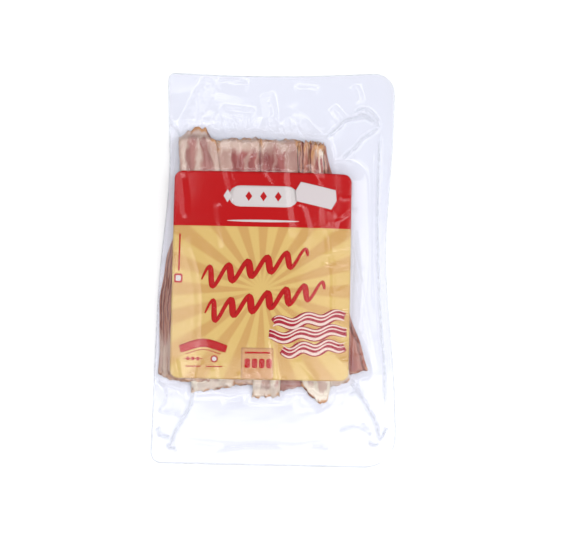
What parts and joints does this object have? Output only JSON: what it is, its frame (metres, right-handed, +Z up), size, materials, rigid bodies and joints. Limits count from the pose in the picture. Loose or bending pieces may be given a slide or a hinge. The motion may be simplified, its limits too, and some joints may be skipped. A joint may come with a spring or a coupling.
{
  "type": "bacon pack",
  "caption": "Flat clear vacuum pack of sliced bacon with a wavy sealed rim, a printed card under the film and a small price sticker, lying on its back.",
  "frame": {"origin": "centre of the pack's plan, on the surface that it lies on", "axes": "+X to the pack's right as its print is read, +Y towards its top edge, +Z up out of the printed side"},
  "size_m": [0.1508, 0.244, 0.0113],
  "materials": {
    "film_and_bacon": "clear glossy film over pink and cream sliced bacon",
    "clear_film": "clear glossy wrinkled film",
    "bacon": "moist cured meat with cream fat streaks and a browned edge",
    "printed_card": "glossy printed card, red band over a straw-coloured ray pattern",
    "sticker_paper": "matt uncoated paper"
  },
  "bodies": {
    "root": {"pouch": "film_and_bacon", "label": "printed_card", "price_sticker": "sticker_paper"}
  },
  "joints": []
}
